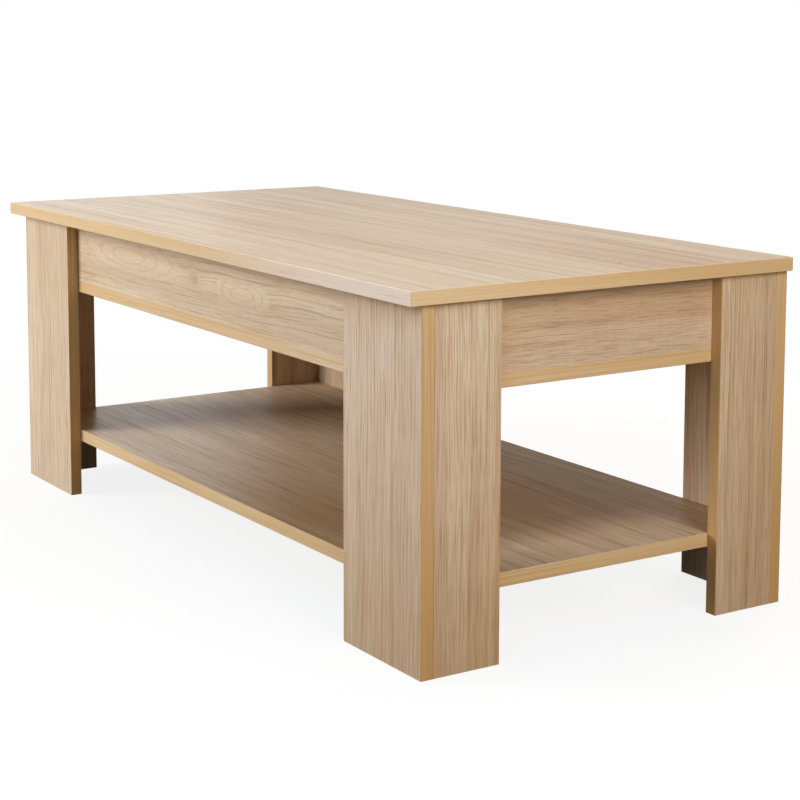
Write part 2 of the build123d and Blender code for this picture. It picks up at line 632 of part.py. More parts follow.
def least_gap(edges):
    """Least clear distance between points of the wire that lie half a turn to a turn and a half apart."""
    points = [edge @ (i / GAP_SAMPLE_COUNT) for edge in edges for i in range(GAP_SAMPLE_COUNT)]
    half_turn = 2 * GAP_SAMPLE_COUNT
    least = math.inf
    for i, point in enumerate(points):
        for other in points[i + half_turn:i + 3 * half_turn]:
            least = min(least, (point - other).length)
    return least - WIRE


def make_springs():
    """A spring on each side, from its post on the base bracket to its stud on the rear arm."""
    pieces = spring_line(anchor_point(), ear_point())
    edges = [Line(*piece) if len(piece) == 2 else ThreePointArc(*piece) for piece in pieces]
    path = Wire(edges, sequenced=True)
    section = Plane(origin=path @ 0, z_dir=path % 0) * Circle(WIRE / 2)
    spring = sweep(section, path=path)
    both_hands("right_spring", spring)
    gap = least_gap(edges)
    tube = math.pi * (WIRE / 2) ** 2 * path.length
    print(f"spring: wire {path.length:.1f} long, least gap {gap:.2f} (over {LEAST_WIRE_GAP}), "
          f"volume {spring.volume:.1f} of {tube:.1f}")

    add("spring_anchor_posts", spring_post(anchor_point(), INNER_X))
    add("spring_anchor_posts", mirror(spring_post(anchor_point(), INNER_X), Plane.YZ))
    both_hands("right_spring_stud", spring_post(ear_point(), ARM_OUTER_X))


fit_legs()
fit_aprons()
make_arms()
make_base_brackets()
make_top_brackets()
make_pivots()
make_springs()
make_bumpers()
make_boards()

os.makedirs("parts", exist_ok=True)
for node, solids in parts.items():
    shape = solids[0] if len(solids) == 1 else Compound(children=solids)
    export_step(shape, f"parts/{node}.step")
print(f"{len(parts)} nodes, {sum(len(solids) for solids in parts.values())} solids")
print("lower pivots (y, z)", FRONT_PIVOT, REAR_PIVOT, "upper pivots", TOP_FRONT_PIVOT, TOP_REAR_PIVOT)
print("arm layer", ARM_INNER_X, ARM_OUTER_X)
print("spring post", anchor_point(), "ear", ear_point(), "x", SPRING_X)
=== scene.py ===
# %% [markdown]
# # An oak-effect coffee table whose top lifts
#
# The table is flat-pack furniture: chipboard sheets with a printed oak face, golden bands glued round their
# edges, and a pair of folding arms under the top. The frame already holds every board, band, screw and arm
# at its real size. What is left for Blender is what the eye reads first: the print of the wood, the sheen
# of the melamine, the metal of the fittings, and the two springs, which are wound here turn by turn.

# %% Load the frame
import json
import math

import bmesh
import bpy
from mathutils import Matrix, Vector


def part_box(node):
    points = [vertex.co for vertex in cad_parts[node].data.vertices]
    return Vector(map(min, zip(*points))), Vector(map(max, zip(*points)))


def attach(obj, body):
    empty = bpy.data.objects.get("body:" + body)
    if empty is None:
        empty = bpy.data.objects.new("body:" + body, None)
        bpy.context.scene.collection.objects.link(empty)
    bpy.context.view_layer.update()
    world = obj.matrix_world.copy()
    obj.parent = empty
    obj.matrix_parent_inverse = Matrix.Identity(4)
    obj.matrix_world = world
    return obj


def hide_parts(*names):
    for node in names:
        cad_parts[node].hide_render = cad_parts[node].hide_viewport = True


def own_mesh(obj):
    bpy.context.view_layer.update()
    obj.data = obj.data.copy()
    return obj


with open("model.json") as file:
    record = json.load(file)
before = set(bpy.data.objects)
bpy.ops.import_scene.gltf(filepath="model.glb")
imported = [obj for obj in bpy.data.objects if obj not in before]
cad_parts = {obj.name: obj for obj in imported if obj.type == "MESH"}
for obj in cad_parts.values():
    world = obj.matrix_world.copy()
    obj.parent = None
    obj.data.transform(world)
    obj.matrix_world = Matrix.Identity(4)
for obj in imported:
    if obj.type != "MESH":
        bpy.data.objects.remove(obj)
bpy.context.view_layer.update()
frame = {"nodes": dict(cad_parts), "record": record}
nodes = frame["nodes"]
MM = 0.001

# %% [markdown]
# ## Camera
#
# The picture was taken from the right-hand front corner with a long lens, a little above the top, and the
# upright edges of the legs stay almost parallel. A camera that looks down would tilt them, so this one is
# nearly level and its frame is shifted down instead, as with a view camera.

# %% Camera
IMAGE_SIZE = 800
FOCAL_PIXELS = 1880.1
AXIS_ROW = 240.0
SENSOR_WIDTH = 36.0
CAMERA_PLACE = Vector((2.0931, -1.2780, 0.6790))
CAMERA_TURN, CAMERA_DIP, CAMERA_ROLL = (math.radians(a) for a in (57.143, 6.679, 0.145))

camera_data = bpy.data.cameras.new("camera")
camera_data.sensor_width = SENSOR_WIDTH
camera_data.lens = FOCAL_PIXELS / IMAGE_SIZE * SENSOR_WIDTH
camera_data.shift_y = (AXIS_ROW - IMAGE_SIZE / 2) / IMAGE_SIZE
camera = bpy.data.objects.new("camera", camera_data)
camera.matrix_world = (Matrix.Translation(CAMERA_PLACE)
                       @ Matrix.Rotation(CAMERA_TURN, 4, "Z")
                       @ Matrix.Rotation(math.pi / 2 - CAMERA_DIP, 4, "X")
                       @ Matrix.Rotation(CAMERA_ROLL, 4, "Z"))
bpy.context.scene.collection.objects.link(camera)
bpy.context.scene.camera = camera
bpy.context.scene.view_settings.view_transform = "Standard"
print(f"lens {camera_data.lens:.1f} mm, shift {camera_data.shift_y:.3f}")

# %% [markdown]
# ## Shader maths in Python
#
# A finish is a graph of nodes, and a graph is easier to read as a formula. `Value` wraps one output socket
# and answers Python's operators by adding Math nodes, so `1 - mask` and `streak * 0.4` work as written.
# `Graph.node` adds any other node: its settings first, because they decide which sockets it has, then the
# values and links of its sockets.

# %% Values and graphs
class Value:
    """An output socket that Python operators can work with."""

    def __init__(self, graph, socket):
        self.graph = graph
        self.socket = socket

    def maths(self, operation, left, right):
        return self.graph.node("ShaderNodeMath", {"operation": operation}, {0: left, 1: right})

    def __add__(self, other):
        return self.maths("ADD", self, other)

    def __radd__(self, other):
        return self.maths("ADD", other, self)

    def __sub__(self, other):
        return self.maths("SUBTRACT", self, other)

    def __rsub__(self, other):
        return self.maths("SUBTRACT", other, self)

    def __mul__(self, other):
        return self.maths("MULTIPLY", self, other)

    def __rmul__(self, other):
        return self.maths("MULTIPLY", other, self)

    def __truediv__(self, other):
        return self.maths("DIVIDE", self, other)

    def __rtruediv__(self, other):
        return self.maths("DIVIDE", other, self)

    def __pow__(self, other):
        return self.maths("POWER", self, other)

    def __gt__(self, other):
        return self.maths("GREATER_THAN", self, other)

    def __abs__(self):
        return self.maths("ABSOLUTE", self, 0.0)

    def sine(self):
        return self.maths("SINE", self, 0.0)

    def output(self, name):
        """Another output of the same node."""
        return Value(self.graph, self.socket.node.outputs[name])


class Graph:
    """A node tree that grows one call at a time."""

    def __init__(self, tree):
        self.tree = tree

    def node(self, kind, settings=None, inputs=None, output=0):
        made = self.tree.nodes.new(kind)
        for name, setting in (settings or {}).items():
            setattr(made, name, setting)
        for key, value in (inputs or {}).items():
            self.plug(made.inputs[key], value)
        return Value(self, made.outputs[output])

    def plug(self, socket, value):
        if isinstance(value, Value):
            self.tree.links.new(value.socket, socket)
        else:
            socket.default_value = value

    def mix(self, factor, first, second):
        """A colour between two colours."""
        return self.node("ShaderNodeMix", {"data_type": "RGBA"}, {0: factor, 6: first, 7: second}, output=2)

    def vector(self, x, y, z):
        return self.node("ShaderNodeCombineXYZ", inputs={0: x, 1: y, 2: z})

    def noise(self, place, detail=2.0, roughness=0.5):
        """Soft noise, about 0.5 on average, with a grain of one unit of the place that it is given."""
        return self.node("ShaderNodeTexNoise", {}, {"Vector": place, "Scale": 1.0, "Detail": detail,
                                                    "Roughness": roughness})

    def ease(self, value, low, high):
        """0 below low, 1 above high, and a smooth step between."""
        return self.node("ShaderNodeMapRange", {"interpolation_type": "SMOOTHSTEP"},
                         {"Value": value, "From Min": low, "From Max": high})


def paint(red, green, blue):
    """A screen colour, 0 to 255, as the linear colour that a socket takes."""
    def linear(level):
        share = level / 255
        return share / 12.92 if share <= 0.04045 else ((share + 0.055) / 1.055) ** 2.4
    return (linear(red), linear(green), linear(blue), 1.0)


print("screen grey 128 in linear light is", round(paint(128, 128, 128)[0], 3))

# %% [markdown]
# ## Floor, background and light
#
# The background is plain white. The world and the far floor are white to the camera and to reflections,
# and much dimmer as a source of light, so the shade under the table stays deep. Near the table the floor
# is part lamp-lit, which is what lets it hold a soft shadow.

# %% World
WORLD_LIGHT = 0.03

def seen(graph):
    """1 for rays that show the background, 0 for rays that only gather light."""
    path = graph.node("ShaderNodeLightPath", output="Is Camera Ray")
    shown = path + path.output("Is Glossy Ray") + path.output("Is Transmission Ray")
    return graph.node("ShaderNodeClamp", inputs={0: shown})


world = bpy.data.worlds.new("studio")
world.use_nodes = True
bpy.context.scene.world = world
sky = Graph(world.node_tree)
background = world.node_tree.nodes["Background"]
sky.plug(background.inputs["Color"], (1.0, 1.0, 1.0, 1.0))
sky.plug(background.inputs["Strength"], WORLD_LIGHT + seen(sky) * (1 - WORLD_LIGHT))
print("world light for diffuse rays", WORLD_LIGHT)

# %% Floor
FLOOR_HALF = 6.0
SHADOW_NEAR, SHADOW_FAR = 0.55, 1.7
SHADOW_SHARE = 0.15
FLOOR_BOUNCE = (0.11, 0.085, 0.06, 1.0)

floor_mesh = bpy.data.meshes.new("floor")
shape = bmesh.new()
bmesh.ops.create_grid(shape, x_segments=1, y_segments=1, size=FLOOR_HALF)
shape.to_mesh(floor_mesh)
shape.free()
floor = bpy.data.objects.new("floor", floor_mesh)
bpy.context.scene.collection.objects.link(floor)

floor_material = bpy.data.materials.new("pale_floor")
floor_material.use_nodes = True
ground = Graph(floor_material.node_tree)
ground.tree.nodes.remove(ground.tree.nodes["Principled BSDF"])
place = ground.node("ShaderNodeTexCoord", output="Object")
away = ground.node("ShaderNodeVectorMath", {"operation": "LENGTH"}, {0: place}, output="Value")
near = 1 - ground.ease(away, SHADOW_NEAR, SHADOW_FAR)
lit_share = near * SHADOW_SHARE
grey = ground.vector(lit_share, lit_share, lit_share)
lit = ground.node("ShaderNodeBsdfDiffuse", inputs={"Color": grey})
glow = ground.node("ShaderNodeEmission", inputs={"Strength": 1 - lit_share})
shown = ground.node("ShaderNodeAddShader", inputs={0: lit, 1: glow})
bounce = ground.node("ShaderNodeBsdfDiffuse", inputs={"Color": FLOOR_BOUNCE})
whole = ground.node("ShaderNodeMixShader", inputs={0: seen(ground), 1: bounce, 2: shown})
ground.plug(ground.tree.nodes["Material Output"].inputs["Surface"], whole)
floor_mesh.materials.append(floor_material)
print("floor", 2 * FLOOR_HALF, "m square")

# %% [markdown]
# The main lamp stands low on the left of the camera, a warm one on the right, and a small cool one by the
# near corner. The shelf lies in the dark under the top, where the big lamps would be too bright and the
# shade too black, so a few small lamps there light one piece each, and the boards at the left end that turn
# their backs to the lamps stay in shade. Light linking does that: a lamp can keep a list of what it lights
# or leaves out. Black and white cards in the openings would do the same on a real set.
#
# A smooth top mirrors a low lamp that stands behind it and burns out to white. So only the two lamps far
# out on the left show in reflections, where they give top and shelf their pale sheen. The others are hidden
# from glossy rays.

# %% Lamps
LAMP_TARGET = Vector((0.1, 0.0, 0.25))
SHADED_BOARDS = ["front_left_leg_narrow_board", "back_left_leg_narrow_board"]
LAMPS = {
    "front_softbox": dict(spot=(-1.3, -2.4, 1.12), size=1.4, power=71.0, colour=(1.0, 0.985, 0.96)),
    "right_softbox": dict(spot=(2.4, -0.25, 1.25), size=1.3, power=37.0, colour=(1.0, 0.9, 0.78),
                          leaves_out=["lower_shelf", *SHADED_BOARDS]),
    "corner_light": dict(spot=(0.85, -0.7, 0.9), size=0.4, power=3.9, colour=(0.5, 0.68, 1.0),
                         leaves_out=["lower_shelf", "top_panel", "leg_edge_bands", *SHADED_BOARDS]),
    "overhead": dict(spot=(0.2, 0.1, 2.3), size=1.2, power=14.0, colour=(1.0, 0.96, 0.88)),
    "back_softbox": dict(spot=(-1.0, 2.6, 1.2), size=1.4, power=60.0, colour=(1.0, 0.98, 0.95),
                         leaves_out=["lower_shelf", "top_panel", *SHADED_BOARDS]),
    "left_card": dict(spot=(-3.0, 0.7, 0.8), size=1.2, power=2.8, colour=(1.0, 0.98, 0.95), mirrored=True),
    "shelf_left_fill": dict(spot=(-2.6, 0.6, 0.75), size=1.0, power=10.0, colour=(0.95, 0.97, 1.0),
                            lights_only=["lower_shelf"], mirrored=True),
    "shelf_right_fill": dict(spot=(1.1, 0.12, 1.5), size=0.4, power=7.5, colour=(1.0, 0.97, 0.92),
                             lights_only=["lower_shelf"]),
    "opening_fill": dict(spot=(-0.6, -1.5, 0.3), size=0.12, power=2.8, colour=(1.0, 0.95, 0.88),
                         lights_only=["leg_edge_bands"]),
    "back_leg_fill": dict(spot=(1.0, -1.8, 0.45), size=0.4, power=9.0, colour=(1.0, 0.95, 0.9),
                          lights_only=["back_right_leg_wide_board"]),
}

def link_lamp(lamp, state, node_names):
    """Give a lamp its list of nodes to light or to leave out."""
    listed = bpy.data.collections.new(f"{lamp.name}_list")
    for node_name in node_names:
        listed.objects.link(nodes[node_name])
    for entry in listed.collection_objects:
        entry.light_linking.link_state = state
    lamp.light_linking.receiver_collection = listed


for lamp_name, lamp_like in LAMPS.items():
    spot = Vector(lamp_like["spot"])
    lamp_data = bpy.data.lights.new(lamp_name, "AREA")
    lamp_data.size = lamp_like["size"]
    lamp_data.energy = lamp_like["power"]
    lamp_data.color = lamp_like["colour"]
    lamp = bpy.data.objects.new(lamp_name, lamp_data)
    lamp.matrix_world = (Matrix.Translation(spot)
                         @ (LAMP_TARGET - spot).to_track_quat("-Z", "Y").to_matrix().to_4x4())
    lamp.visible_glossy = lamp_like.get("mirrored", False)
    bpy.context.scene.collection.objects.link(lamp)
    if "leaves_out" in lamp_like:
        link_lamp(lamp, "EXCLUDE", lamp_like["leaves_out"])
    if "lights_only" in lamp_like:
        link_lamp(lamp, "INCLUDE", lamp_like["lights_only"])
print(f"{len(LAMPS)} lamps")

# %% [markdown]
# ## The printed oak
#
# The face of each board is a photograph of oak printed on paper and pressed under melamine. A photograph
# of wood is flat, so two coordinates describe it: one along the grain and one across. The wood's lines are
# drawn on a third number, the *flow*, which is the distance across the grain after the grain has wandered
# and has swept round the knots. Lines of equal flow are the lines of the wood, so any noise that is long
# in the grain and short in the flow looks like oak: pencil lines, and open pores. The broad toned bands
# use the *calm* flow, which has wandered but passes the knots by.

# %% Flow of the grain
class Finish(Graph):
    """A material built round one Principled shader."""

    def __init__(self, name, roughness, metallic=0.0):
        self.material = bpy.data.materials.new(name)
        self.material.use_nodes = True
        super().__init__(self.material.node_tree)
        self.shader = self.tree.nodes["Principled BSDF"]
        self.set("Roughness", roughness)
        self.set("Metallic", metallic)

    def set(self, name, value):
        self.plug(self.shader.inputs[name], value)

    def bump(self, height, strength, depth):
        """Relief of a given depth in metres."""
        self.set("Normal", self.node("ShaderNodeBump", {}, {"Strength": strength, "Distance": depth,
                                                            "Height": height}))

    def axes(self):
        """The three Object coordinates by letter."""
        place = self.node("ShaderNodeTexCoord", output="Object")
        parted = self.node("ShaderNodeSeparateXYZ", inputs={0: place})
        return {letter: parted.output(letter) for letter in "XYZ"}


WANDER_LONG, WANDER_SHORT = 0.035, 0.006

def nearness(along, across, spot):
    """1 at a spot, fading to 0 over its half length and half width."""
    spot_along, spot_across, half_length, half_width = spot
    far = ((along - spot_along) / half_length) ** 2 + ((across - spot_across) / half_width) ** 2
    return 1 / (1 + far) ** 2


def grain_flow(finish, along, across, seed, eyes):
    """Distance across the grain after it has wandered, and then after it has gone round its knots."""
    slow = finish.noise(finish.vector(along * 1.1, across * 3.0, seed), detail=1.0)
    quick = finish.noise(finish.vector(along * 9.0, across * 16.0, seed + 5.0), detail=1.0)
    calm = across + (slow - 0.5) * WANDER_LONG + (quick - 0.5) * WANDER_SHORT
    flow = calm
    for *spot, lift in eyes:
        flow = flow + nearness(along, across, spot) * lift
    return calm, flow


print("grain wanders by up to", (WANDER_LONG + WANDER_SHORT) / 2, "m")

# %% Oak tones and ovals
OAK_PALE = paint(229, 211, 183)
OAK_BODY = paint(218, 196, 167)
OAK_ROSE = paint(211, 182, 157)
OAK_BROWN = paint(187, 147, 101)
OAK_LINE = paint(172, 136, 106)
OAK_PORE = paint(152, 118, 88)

def oval_rings(finish, along, across, oval, wobble, fine):
    """The rings of one oval figure, and a mask that is 1 inside it and 0 outside."""
    oval_along, oval_across, half_length, half_width, count = oval
    far = (((along - oval_along) / half_length) ** 2 + ((across - oval_across) / half_width) ** 2) ** 0.5
    inside = 1 - finish.ease(far * wobble, 0.9, 1.15)
    rings = finish.ease((far * wobble * count * math.tau).sine(), 0.6, 1.0) * (0.4 + fine * 0.6)
    return rings * finish.ease(far, 0.15, 0.4), inside


print("oak tones ready")

# %% [markdown]
# One function prints a board. It first makes the masks, from broad to fine: zones, blush and bands that
# ignore the knots, then lines, pores and rings that go round them. Then it lays the colours over each other
# in that order, as a printer's rollers do. A patch is a place where the board is browner, or paler if its
# amount is below zero. Some patches are tone of the print; those on the shelf and at the feet of the legs are
# painted shade and painted light.

# %% Oak face
PRINT_ROUGHNESS = 0.55
MELAMINE_ROUGHNESS = 0.36
PORE_DEPTH = 0.06 * MM

def oak_face(name, along, across, seed, eyes=(), ovals=(), tone_and_painted_light_patches=(), rose=0.5, brown=0.4, lines=0.5,
             rings=0.25, ring_pitch=0.0067, line_length=0.1, line_width=0.0019, sheen=0.07):
    """The printed oak of one board: along and across are axis letters, seed picks its part of the print."""
    finish = Finish(name, MELAMINE_ROUGHNESS)
    finish.set("Specular IOR Level", sheen)
    axes = finish.axes()
    length, width = axes[along], axes[across]
    calm, flow = grain_flow(finish, length, width, seed, eyes)

    def layer(over, grain_length, grain_width, shift, detail):
        place = finish.vector(length / grain_length, over / grain_width, seed + shift)
        return finish.noise(place, detail=detail, roughness=PRINT_ROUGHNESS)

    zone = finish.ease(layer(calm, 1.0, 0.038, 1.0, 2.0), 0.36, 0.64)
    blush = finish.ease(layer(calm, 1.2, 0.052, 2.0, 1.0), 0.42, 0.62)
    band = finish.ease(layer(calm, 0.5, 0.012, 3.0, 2.0), 0.46, 0.7)
    line = finish.ease(layer(flow, line_length, line_width, 4.0, 2.0), 0.5, 0.68)
    fine = finish.ease(layer(flow, line_length / 3, line_width / 3, 5.0, 1.0), 0.5, 0.7)
    pore = finish.ease(layer(flow, 0.018, 0.0006, 6.0, 1.0), 0.6, 0.7)
    pencil_ridge = abs(layer(flow, line_length * 3, line_width * 2.0, 9.0, 2.0) - 0.5)
    pencil = (1 - finish.ease(pencil_ridge, 0.005, 0.03)) * (0.4 + band * 0.6)
    wave = (flow * math.tau / ring_pitch + layer(calm, 0.6, 0.03, 7.0, 1.0) * 9).sine()
    ring = finish.ease(wave, 0.72, 1.0) * finish.ease(layer(calm, 0.25, 0.02, 8.0, 1.0), 0.35, 0.65)
    for oval in ovals:
        wobble = 0.7 + layer(calm, 0.05, 0.02, 10.0, 2.0) * 0.6
        figure, inside = oval_rings(finish, length, width, oval, wobble, fine)
        ring = ring * (1 - inside) + figure * inside
        pencil = pencil * (1 - inside * 0.8)
        line = line * (1 - inside * 0.5)

    colour = finish.mix(zone, OAK_PALE, OAK_BODY)
    colour = finish.mix(blush * rose, colour, OAK_ROSE)
    colour = finish.mix(band * brown, colour, OAK_BROWN)
    # Patches: print tone on some boards; on the shelf and at the leg feet they are painted shade (browner)
    # and painted light (paler).
    for *spot, amount in tone_and_painted_light_patches:
        colour = finish.mix(nearness(length, width, spot) * (0.6 + band * 0.4) * abs(amount), colour,
                            OAK_BROWN if amount > 0 else OAK_PALE)
    colour = finish.mix(ring * rings, colour, OAK_LINE)
    colour = finish.mix(line * lines * 0.6, colour, OAK_LINE)
    colour = finish.mix(fine * lines * 0.5, colour, OAK_LINE)
    colour = finish.mix(pencil * lines, colour, OAK_LINE)
    colour = finish.mix(pore * (0.12 + line * 0.3), colour, OAK_PORE)
    finish.set("Base Color", colour)
    finish.set("Roughness", MELAMINE_ROUGHNESS + pore * 0.1 + band * 0.05)
    finish.bump(1 - pore * 0.8 - line * 0.2, strength=0.35, depth=PORE_DEPTH)
    return finish.material


print("oak face ready")

# %% [markdown]
# ## Which way each board runs
#
# The grain runs along the longer side of each board: along the table on the top, shelf, floor and long
# aprons, front to back on the end aprons, and upright on the legs. The front apron was cut from a figured
# sheet, with three eyes where the grain goes round knots, and an oval of rings drawn in each. Each board
# gets its own seed, so no two match. All places and sizes of eyes, ovals and patches are in metres, along
# the grain and then across it.

# %% Boards of the top, shelf and box
BOARDS = {
    "top_panel": dict(along="X", across="Y", seed=3.0, rose=0.2, lines=0.4, rings=0.3, ring_pitch=0.009,
                      sheen=0.24,
                      eyes=[(0.44, 0.05, 0.2, 0.035, 0.045), (0.02, -0.16, 0.25, 0.025, -0.02)],
                      tone_and_painted_light_patches=[(0.5, 0.12, 0.32, 0.13, 1.1), (0.0, -0.1, 0.4, 0.08, 0.45),
                               (0.42, -0.19, 0.3, 0.05, -0.6)]),
    "lower_shelf": dict(along="X", across="Y", seed=11.0, brown=0.35, lines=0.75, rings=0.15,
                        line_length=0.15, line_width=0.0032, sheen=0.011,
                        # The shelf's patches are painted shade and painted light: browner at the right, where
                        # the front right leg and the apron keep the light off, and paler at the left end and
                        # the front middle.
                        tone_and_painted_light_patches=[(0.26, 0.05, 0.22, 0.13, 1.9), (0.22, -0.17, 0.2, 0.1, 1.2),
                                 (-0.4, 0.0, 0.2, 0.3, -0.6), (-0.08, -0.17, 0.16, 0.1, -0.6)]),
    "compartment_floor": dict(along="X", across="Y", seed=19.0),
    "front_apron": dict(along="X", across="Z", seed=27.0, brown=0.2, lines=0.5, rings=0.5, ring_pitch=0.011,
                        line_length=0.06, line_width=0.0016,
                        eyes=[(-0.2, 0.352, 0.16, 0.034, 0.012), (-0.011, 0.35, 0.02, 0.012, 0.008),
                              (0.116, 0.345, 0.09, 0.022, 0.006)],
                        ovals=[(-0.205, 0.364, 0.14, 0.026, 3.5), (-0.011, 0.3565, 0.018, 0.011, 2.0),
                               (0.116, 0.351, 0.07, 0.019, 3.0)],
                        tone_and_painted_light_patches=[(-0.011, 0.3565, 0.02, 0.011, 0.9)]),
    "back_apron": dict(along="X", across="Z", seed=35.0, rings=0.4, ring_pitch=0.01,
                       eyes=[(0.17, 0.345, 0.12, 0.02, 0.01), (-0.2, 0.355, 0.04, 0.012, 0.008)],
                       ovals=[(0.17, 0.352, 0.09, 0.018, 2.0), (-0.2, 0.36, 0.022, 0.01, 2.0)]),
    "left_apron": dict(along="Y", across="Z", seed=43.0, brown=0.1, lines=0.8, line_length=0.03,
                       line_width=0.0011, tone_and_painted_light_patches=[(0.0, 0.35, 0.6, 0.3, 0.2)]),
    "right_apron": dict(along="Y", across="Z", seed=51.0, rose=0.5, brown=0.1, lines=0.95, line_length=0.04,
                        line_width=0.0009, tone_and_painted_light_patches=[(0.0, 0.35, 0.6, 0.3, 0.25)]),
}
print(f"{len(BOARDS)} boards of the top, shelf and box")

# %% [markdown]
# Each leg is an L of two boards, a wide one and a narrow one. Two of the legs have a small knot. Near the
# floor the legs carry painted shade: the right ones are browner there, and the front left one is paler, which
# is painted light. The foot shade says how much, and how far up it reaches. The narrow boards take it more
# strongly.

# %% Leg boards
LEG_SEEDS = {"front_left": 60.0, "front_right": 70.0, "back_left": 80.0, "back_right": 90.0}
LEG_EYES = {
    "front_right": [(0.329, 0.456, 0.05, 0.01, 0.005)],
    "back_left": [(0.2, -0.44, 0.08, 0.014, 0.006)],
}
LEG_OVALS = {
    "front_right": [(0.329, 0.456, 0.022, 0.007, 1.5)],
    "back_left": [(0.2, -0.44, 0.03, 0.01, 1.5)],
}
LEG_STREAKS = {"front_right": [(0.15, 0.492, 0.25, 0.012, 0.5), (0.32, 0.43, 0.2, 0.2, -0.6)]}
LEG_ROSE = {"front_left": 0.1, "front_right": 0.5}
PLAIN_ROSE = 0.35
# Painted shade at the feet: above zero browner, below zero paler (painted light); then how far up it reaches.
FOOT_SHADE_AND_LIGHT = {"front_right": (0.55, 0.25), "back_right": (0.35, 0.5), "front_left": (-0.6, 0.3)}
PLAIN_FOOT_SHADE = (0.0, 0.25)
FOOT_PLACE = {"left": -0.45, "right": 0.45, "front": -0.18, "back": 0.2}
FOOT_WIDTH = 0.4
# The narrow boards take the painted foot shade this much more strongly.
NARROW_SHADE_GAIN = 1.3
NARROW_SEED = 4.0

for corner, leg_seed in LEG_SEEDS.items():
    row, side = corner.split("_")
    foot_shading, reach = FOOT_SHADE_AND_LIGHT.get(corner, PLAIN_FOOT_SHADE)
    foot = (0.0, FOOT_PLACE[side], reach, FOOT_WIDTH, foot_shading)
    BOARDS[f"{corner}_leg_wide_board"] = dict(
        along="Z", across="X", seed=leg_seed, rose=LEG_ROSE.get(corner, PLAIN_ROSE), brown=0.3, lines=0.85,
        rings=0.4, line_length=0.12, line_width=0.0024, eyes=LEG_EYES.get(corner, []),
        ovals=LEG_OVALS.get(corner, []), tone_and_painted_light_patches=[foot, *LEG_STREAKS.get(corner, [])])
    foot = (0.0, FOOT_PLACE[row], reach, FOOT_WIDTH, foot_shading * NARROW_SHADE_GAIN)
    BOARDS[f"{corner}_leg_narrow_board"] = dict(
        along="Z", across="Y", seed=leg_seed + NARROW_SEED, lines=1.0, line_length=0.1, line_width=0.0016,
        tone_and_painted_light_patches=[foot])
print(f"{len(LEG_SEEDS)} legs of two boards")

# %% Dress the boards
def dress(node_name, material):
    for slot in nodes[node_name].material_slots:
        slot.material = material


for board, cut in BOARDS.items():
    dress(board, oak_face(f"oak_{board}", **cut))
print(f"{len(BOARDS)} boards dressed")

# %% [markdown]
# ## Edge bands
#
# The bands are strips of golden plastic with a fine lengthwise print, plainer and warmer than the faces.
# They run in all directions, so the band's own direction is read from which way its face looks: a face
# that looks along X is at an end of the table and runs along Y, and the others run along X. The bands of
# the legs are printed upright, along Z.

# %% Oak bands
BAND_GOLD = paint(218, 186, 138)
BAND_PALE = paint(228, 204, 164)
# Painted shade for the leg bands near the floor.
BAND_FOOT_SHADE = paint(197, 152, 92)
BAND_LINE = paint(184, 138, 82)
# Painted light, pale and rosy, for the right ends of the bands.
BAND_PAINTED_LIGHT = paint(228, 209, 191)
BAND_SHEEN = 0.1
BAND_DEPTH = 0.04 * MM
# Height over which the painted shade on the leg bands fades out.
FOOT_SHADE_REACH = 0.4

def oak_band(name, seed, upright=False, painted_corner_light=0.0, painted_foot_shade=0.0, streaks=0.35):
    """The golden edge band: upright on the legs, with painted light that turns it pale and rosy to the right,
    and painted shade that darkens it towards the floor.
    """
    finish = Finish(name, MELAMINE_ROUGHNESS)
    finish.set("Specular IOR Level", BAND_SHEEN)
    axes = finish.axes()
    facing = finish.node("ShaderNodeNewGeometry", output="Normal")
    at_end = abs(finish.node("ShaderNodeSeparateXYZ", inputs={0: facing})) > 0.6
    if upright:
        length = axes["Z"]
        width = axes["X"] + axes["Y"]
    else:
        length = axes["X"] * (1 - at_end) + axes["Y"] * at_end
        width = axes["Z"]

    def layer(grain_length, grain_width, shift, detail):
        place = finish.vector(length / grain_length, width / grain_width, seed + shift)
        return finish.noise(place, detail=detail, roughness=PRINT_ROUGHNESS)

    drift = finish.ease(layer(0.6, 0.03, 1.0, 2.0), 0.35, 0.65)
    streak = finish.ease(layer(0.25, 0.002, 2.0, 2.0), 0.46, 0.66)
    fine = finish.ease(layer(0.08, 0.0007, 3.0, 1.0), 0.5, 0.7)
    # Painted light: pale and rosy towards the right end.
    painted_light_fade = finish.ease(length, -0.1, 0.45) * (1 - at_end) * painted_corner_light
    colour = finish.mix(drift * 0.6, BAND_GOLD, BAND_PALE)
    colour = finish.mix(painted_light_fade, colour, BAND_PAINTED_LIGHT)
    # Painted shade: darker towards the floor.
    colour = finish.mix((1 - finish.ease(axes["Z"], 0.0, FOOT_SHADE_REACH)) * painted_foot_shade, colour, BAND_FOOT_SHADE)
    colour = finish.mix(streak * streaks, colour, BAND_LINE)
    colour = finish.mix(fine * 0.2, colour, BAND_LINE)
    finish.set("Base Color", colour)
    finish.set("Roughness", MELAMINE_ROUGHNESS + streak * 0.08)
    finish.bump(1 - fine * 0.6 - streak * 0.3, strength=0.25, depth=BAND_DEPTH)
    return finish.material


BANDS = {
    "top_edge_bands": dict(seed=5.0, painted_corner_light=0.9, streaks=0.15),
    "floor_edge_bands": dict(seed=15.0, painted_corner_light=0.35),
    "shelf_edge_bands": dict(seed=25.0),
    "apron_edge_bands": dict(seed=35.0),
    "leg_edge_bands": dict(seed=45.0, upright=True, painted_foot_shade=0.6),
    "foot_edge_bands": dict(seed=55.0, upright=True),
}
for band_node, band_like in BANDS.items():
    dress(band_node, oak_band(f"oak_{band_node}", **band_like))
print(f"{len(BANDS)} band nodes dressed")

